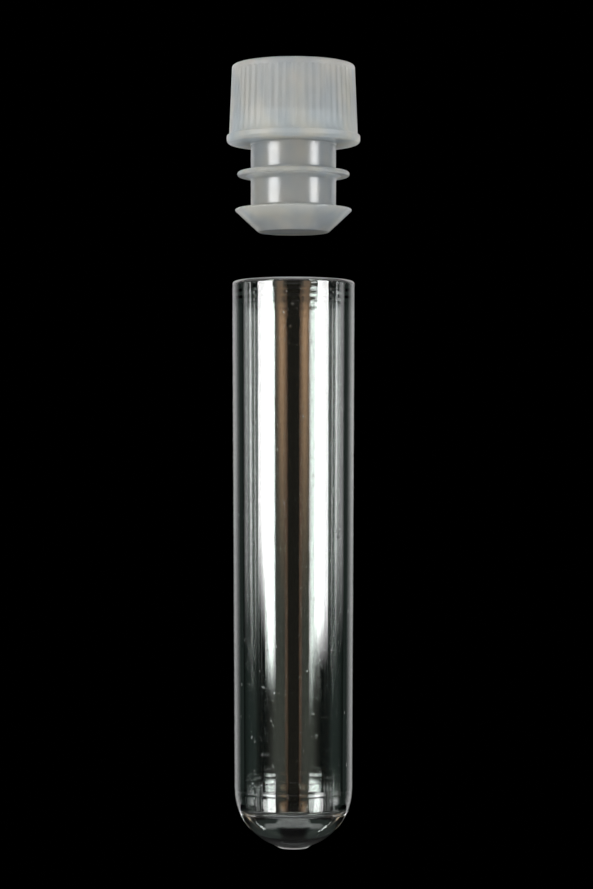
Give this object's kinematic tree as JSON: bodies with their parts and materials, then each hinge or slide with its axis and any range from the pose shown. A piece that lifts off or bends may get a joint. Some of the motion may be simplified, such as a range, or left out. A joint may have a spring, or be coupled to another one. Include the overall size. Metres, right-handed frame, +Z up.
{
  "type": "test tube with stopper",
  "caption": "Clear plastic round-bottom test tube with a ribbed push-in stopper whose sealing fins grip the bore.",
  "frame": {"origin": "centre of the small flat pad under the tube's round bottom, where the tube stands on the floor of its rack", "axes": "+Z up the common axis of tube and stopper; X and Y lie across it, and the tube looks the same all round"},
  "size_m": [0.0132, 0.0132, 0.0766],
  "materials": {
    "clear_polystyrene": "polished",
    "natural_polyethylene": "satin"
  },
  "bodies": {
    "tube": {"tube": "clear_polystyrene"},
    "stopper": {"stopper": "natural_polyethylene", "upper_fin": "natural_polyethylene", "lower_fin": "natural_polyethylene"}
  },
  "joints": [
    {"name": "stopper_slide", "type": "slide", "parent": "tube", "child": "stopper", "axis": [0, 0, 1], "range_m": [-0.01345, 0], "deforming": ["upper_fin", "lower_fin"]}
  ]
}
